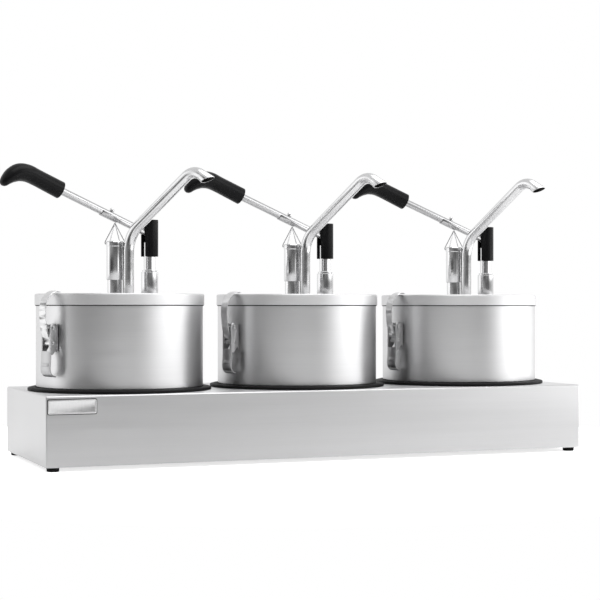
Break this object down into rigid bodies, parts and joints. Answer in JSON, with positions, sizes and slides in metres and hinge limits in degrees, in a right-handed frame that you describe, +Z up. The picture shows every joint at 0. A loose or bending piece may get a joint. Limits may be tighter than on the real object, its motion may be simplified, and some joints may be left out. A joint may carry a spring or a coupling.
{
  "type": "condiment pump dispenser",
  "caption": "Counter-top sauce dispenser: a long satin steel base with round lidded pots, each with a lever-operated piston pump, a bent spout and a toggle latch.",
  "frame": {"origin": "on the table, at the middle of the whole object's outline seen from above (the levers and spouts reach past the base, so the base's own middle is 19 mm to +X and 14 mm to +Y of it)", "axes": "+X along the base to the right as seen from the front, +Y to the back, +Z up"},
  "size_m": [0.7273, 0.2545, 0.3491],
  "materials": {
    "satin_steel": "satin brushed stainless steel",
    "polished_steel": "mirror-polished stainless steel",
    "pressed_steel": "bright pressed stainless sheet",
    "spring_steel": "drawn spring wire",
    "black_rubber": "matte black rubber",
    "black_plastic": "semi-gloss black plastic"
  },
  "bodies": {
    "base": {"base_housing": "satin_steel", "base_floor": "satin_steel", "foot_front_left": "black_rubber", "foot_front_right": "black_rubber", "foot_back_left": "black_rubber", "foot_back_right": "black_rubber", "ring_1": "black_rubber", "ring_2": "black_rubber", "ring_3": "black_rubber"},
    "pot_1": {"pot_1": "satin_steel", "lid_1": "satin_steel", "pump_cylinder_1": "polished_steel", "post_1": "polished_steel", "clevis_1": "black_plastic", "hinge_pin_1": "polished_steel", "spout_1": "polished_steel", "latch_bracket_1": "pressed_steel"},
    "lever_1": {"lever_1": "polished_steel", "lever_saddle_1": "polished_steel", "lever_grip_1": "black_plastic"},
    "plunger_1": {"piston_cap_1": "polished_steel", "piston_rod_1": "polished_steel", "wire_link_1": "polished_steel", "return_spring_1": "spring_steel"},
    "latch_lever_1": {"latch_lever_1": "pressed_steel"},
    "latch_hook_1": {"latch_hook_1": "pressed_steel"},
    "pot_2": {"pot_2": "satin_steel", "lid_2": "satin_steel", "pump_cylinder_2": "polished_steel", "post_2": "polished_steel", "clevis_2": "black_plastic", "hinge_pin_2": "polished_steel", "spout_2": "polished_steel", "latch_bracket_2": "pressed_steel"},
    "lever_2": {"lever_2": "polished_steel", "lever_saddle_2": "polished_steel", "lever_grip_2": "black_plastic"},
    "plunger_2": {"piston_cap_2": "polished_steel", "piston_rod_2": "polished_steel", "wire_link_2": "polished_steel", "return_spring_2": "spring_steel"},
    "latch_lever_2": {"latch_lever_2": "pressed_steel"},
    "latch_hook_2": {"latch_hook_2": "pressed_steel"},
    "pot_3": {"pot_3": "satin_steel", "lid_3": "satin_steel", "pump_cylinder_3": "polished_steel", "post_3": "polished_steel", "clevis_3": "black_plastic", "hinge_pin_3": "polished_steel", "spout_3": "polished_steel", "latch_bracket_3": "pressed_steel"},
    "lever_3": {"lever_3": "polished_steel", "lever_saddle_3": "polished_steel", "lever_grip_3": "black_plastic"},
    "plunger_3": {"piston_cap_3": "polished_steel", "piston_rod_3": "polished_steel", "wire_link_3": "polished_steel", "return_spring_3": "spring_steel"},
    "latch_lever_3": {"latch_lever_3": "pressed_steel"},
    "latch_hook_3": {"latch_hook_3": "pressed_steel"}
  },
  "joints": [
    {"name": "pot_lift_1", "type": "slide", "parent": "base", "child": "pot_1", "axis": [0, 0, 1], "range_m": [0, 0.1]},
    {"name": "lever_press_1", "type": "hinge", "parent": "pot_1", "child": "lever_1", "pos_m": [-0.17242, 0.02065, 0.2725], "axis": [0.2588, -0.9659, 0], "range_deg": [0, 16], "stiffness_Nm_per_rad": 1.5, "springref_deg": -20.05},
    {"name": "plunger_slide_1", "type": "slide", "parent": "pot_1", "child": "plunger_1", "axis": [0, 0, -1], "range_m": [0, 0.0142], "deforming": ["return_spring_1"]},
    {"name": "latch_open_1", "type": "hinge", "parent": "pot_1", "child": "latch_lever_1", "pos_m": [-0.30759, -0.0335, 0.1597], "axis": [-0.4446, 0.8957, 0], "range_deg": [0, 80]},
    {"name": "hook_swing_1", "type": "hinge", "parent": "latch_lever_1", "child": "latch_hook_1", "pos_m": [-0.30831, -0.03385, 0.1423], "axis": [-0.4446, 0.8957, 0], "range_deg": [-100, 0]},
    {"name": "pot_lift_2", "type": "slide", "parent": "base", "child": "pot_2", "axis": [0, 0, 1], "range_m": [0, 0.1]},
    {"name": "lever_press_2", "type": "hinge", "parent": "pot_2", "child": "lever_2", "pos_m": [0.05806, 0.016, 0.2725], "axis": [0.1426, -0.9898, 0], "range_deg": [0, 16], "stiffness_Nm_per_rad": 1.5, "springref_deg": -20.05},
    {"name": "plunger_slide_2", "type": "slide", "parent": "pot_2", "child": "plunger_2", "axis": [0, 0, -1], "range_m": [0, 0.0142], "deforming": ["return_spring_2"]},
    {"name": "latch_open_2", "type": "hinge", "parent": "pot_2", "child": "latch_lever_2", "pos_m": [-0.08257, -0.02176, 0.1597], "axis": [-0.3355, 0.9421, 0], "range_deg": [0, 25]},
    {"name": "hook_swing_2", "type": "hinge", "parent": "latch_lever_2", "child": "latch_hook_2", "pos_m": [-0.08332, -0.02203, 0.1423], "axis": [-0.3355, 0.9421, 0], "range_deg": [-32, 0]},
    {"name": "pot_lift_3", "type": "slide", "parent": "base", "child": "pot_3", "axis": [0, 0, 1], "range_m": [0, 0.1]},
    {"name": "lever_press_3", "type": "hinge", "parent": "pot_3", "child": "lever_3", "pos_m": [0.28802, 0.01174, 0.2725], "axis": [0.0349, -0.9994, 0], "range_deg": [0, 16], "stiffness_Nm_per_rad": 1.5, "springref_deg": -20.05},
    {"name": "plunger_slide_3", "type": "slide", "parent": "pot_3", "child": "plunger_3", "axis": [0, 0, -1], "range_m": [0, 0.0142], "deforming": ["return_spring_3"]},
    {"name": "latch_open_3", "type": "hinge", "parent": "pot_3", "child": "latch_lever_3", "pos_m": [0.14413, -0.01061, 0.1597], "axis": [-0.2317, 0.9728, 0], "range_deg": [0, 25]},
    {"name": "hook_swing_3", "type": "hinge", "parent": "latch_lever_3", "child": "latch_hook_3", "pos_m": [0.14335, -0.0108, 0.1423], "axis": [-0.2317, 0.9728, 0], "range_deg": [-32, 0]}
  ],
  "couplings": [
    {"joint": "plunger_slide_1", "follows": "lever_press_1", "m_per_rad": 0.05},
    {"joint": "hook_swing_1", "follows": "latch_open_1", "ratio": -1.25},
    {"joint": "plunger_slide_2", "follows": "lever_press_2", "m_per_rad": 0.05},
    {"joint": "hook_swing_2", "follows": "latch_open_2", "ratio": -1.25},
    {"joint": "plunger_slide_3", "follows": "lever_press_3", "m_per_rad": 0.05},
    {"joint": "hook_swing_3", "follows": "latch_open_3", "ratio": -1.25}
  ]
}
